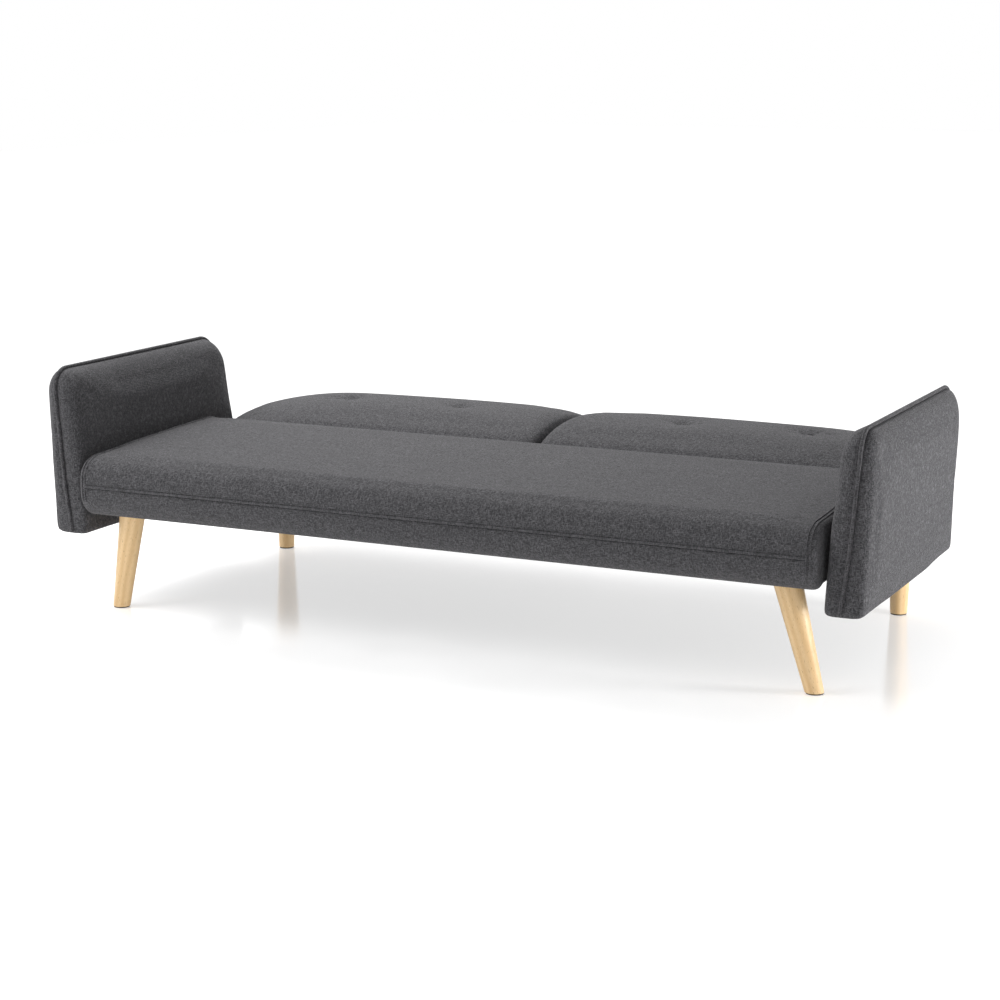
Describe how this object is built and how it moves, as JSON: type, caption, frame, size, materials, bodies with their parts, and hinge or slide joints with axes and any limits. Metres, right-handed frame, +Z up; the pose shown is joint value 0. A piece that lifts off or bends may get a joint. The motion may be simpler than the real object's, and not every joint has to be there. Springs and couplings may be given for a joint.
{
  "type": "futon sofa bed",
  "caption": "Upholstered click-clack sofa bed, folded flat as a bed, with a split tufted back, padded leaning arms and splayed tapered wooden legs.",
  "frame": {"origin": "on the floor, under the middle of the whole bed as folded flat", "axes": "+X along the seat to the right-hand arm as seen from the front, +Y from the seat's front to the folded back, +Z up"},
  "size_m": [1.992, 1.048, 0.5835],
  "materials": {
    "leg_wood": "satin",
    "frame_timber": "matte",
    "plywood": "matte",
    "hinge_steel": "satin",
    "zinc_steel": "satin",
    "spring_steel": "satin",
    "glide_plastic": "matte",
    "stop_rubber": "matte",
    "dust_cloth": "matte",
    "webbing": "matte",
    "foam": "matte",
    "charcoal_fabric": "matte"
  },
  "bodies": {
    "base": {"front_rail": "frame_timber", "mid_rail": "frame_timber", "rear_rail": "frame_timber", "left_side_rail": "frame_timber", "right_side_rail": "frame_timber", "seat_stretcher": "frame_timber", "rear_stretcher": "frame_timber", "corner_blocks": "frame_timber", "leg_plates": "hinge_steel", "front_left_leg": "leg_wood", "front_right_leg": "leg_wood", "back_left_leg": "leg_wood", "back_right_leg": "leg_wood", "leg_bolts": "zinc_steel", "leg_glides": "glide_plastic", "seat_springs": "spring_steel", "spring_clips": "spring_steel", "seat_foam": "foam", "seat_cover": "charcoal_fabric", "seat_band": "charcoal_fabric", "base_cover": "charcoal_fabric", "dust_cloth": "dust_cloth", "back_stops": "stop_rubber", "hinge_brackets": "hinge_steel", "hinge_pins": "hinge_steel", "bracket_screws": "zinc_steel", "pawl_pins": "hinge_steel", "arm_panels": "plywood", "arm_battens": "frame_timber", "arm_bolts": "zinc_steel", "insert_nuts": "zinc_steel", "left_arm_inner_foam": "foam", "left_arm_outer_foam": "foam", "left_arm_cover": "charcoal_fabric", "left_arm_piping": "charcoal_fabric", "right_arm_inner_foam": "foam", "right_arm_outer_foam": "foam", "right_arm_cover": "charcoal_fabric", "right_arm_piping": "charcoal_fabric"},
    "left_back": {"left_back_near_rail": "frame_timber", "left_back_far_rail": "frame_timber", "left_back_inner_stile": "frame_timber", "left_back_outer_stile": "frame_timber", "left_back_webbing": "webbing", "left_back_foam": "foam", "left_back_cover": "charcoal_fabric", "left_back_buttons": "charcoal_fabric", "left_back_hinge_plates": "hinge_steel"},
    "right_back": {"right_back_near_rail": "frame_timber", "right_back_far_rail": "frame_timber", "right_back_inner_stile": "frame_timber", "right_back_outer_stile": "frame_timber", "right_back_webbing": "webbing", "right_back_foam": "foam", "right_back_cover": "charcoal_fabric", "right_back_buttons": "charcoal_fabric", "right_back_hinge_plates": "hinge_steel"},
    "left_lock": {"left_pawl": "hinge_steel"},
    "right_lock": {"right_pawl": "hinge_steel"}
  },
  "joints": [
    {"name": "left_back_fold", "type": "hinge", "parent": "base", "child": "left_back", "pos_m": [-0.4415, 0.051, 0.372], "axis": [1, 0, 0], "range_deg": [0, 78]},
    {"name": "right_back_fold", "type": "hinge", "parent": "base", "child": "right_back", "pos_m": [0.4415, 0.051, 0.372], "axis": [1, 0, 0], "range_deg": [0, 78]},
    {"name": "left_pawl_swing", "type": "hinge", "parent": "base", "child": "left_lock", "pos_m": [-0.8425, 0.02554, 0.36052], "axis": [1, 0, 0], "range_deg": [0, 11], "stiffness_Nm_per_rad": 0.2},
    {"name": "right_pawl_swing", "type": "hinge", "parent": "base", "child": "right_lock", "pos_m": [0.8425, 0.02554, 0.36052], "axis": [1, 0, 0], "range_deg": [0, 11], "stiffness_Nm_per_rad": 0.2}
  ]
}
